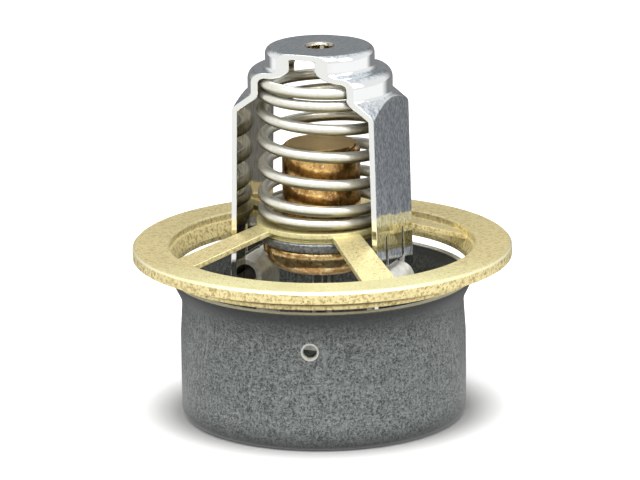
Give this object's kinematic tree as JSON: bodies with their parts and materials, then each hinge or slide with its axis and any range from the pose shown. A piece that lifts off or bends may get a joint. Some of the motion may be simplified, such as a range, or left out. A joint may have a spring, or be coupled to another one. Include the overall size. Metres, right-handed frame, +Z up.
{
  "type": "engine thermostat",
  "caption": "Full-blocking engine coolant thermostat: brass flange frame with spokes, sprung wax element, stamped strap and a sliding coated sleeve valve.",
  "frame": {"origin": "on the axis at the sleeve's bottom edge, on which the part stands", "axes": "+Z up along the axis from the sleeve to the strap's crown, X through the strap's two legs"},
  "size_m": [0.07, 0.07, 0.0695],
  "materials": {
    "frame_brass": "pale yellow brass, satin, faintly mottled, bright edges",
    "strap_steel": "bright zinc-plated steel, lightly brushed, blue-grey reflections",
    "washer_steel": "blue-grey steel, dull",
    "copper": "drawn copper, bright, with darker specks",
    "spring_steel": "plated spring wire, warm light grey",
    "coated_steel": "dark grey low-friction coating, satin, mottled",
    "crossbar_steel": "plain plated steel",
    "piston_steel": "ground stainless steel",
    "guide_brass": "turned brass, dull",
    "boot_rubber": "black rubber",
    "wax": "copper-filled wax"
  },
  "bodies": {
    "valve": {"sleeve": "coated_steel", "crossbar": "crossbar_steel", "strap": "strap_steel", "piston": "piston_steel", "spring": "spring_steel"},
    "frame": {"flange_frame": "frame_brass", "hub_washer": "washer_steel", "crimp_shell": "copper", "wax_cup": "copper", "wax_charge": "wax", "rubber_boot": "boot_rubber", "piston_guide": "guide_brass"}
  },
  "joints": [
    {"name": "valve_stroke", "type": "slide", "parent": "valve", "child": "frame", "axis": [0, 0, 1], "range_m": [0, 0.009], "stiffness_N_per_m": 4000, "springref_m": -0.02, "deforming": ["spring"]}
  ]
}
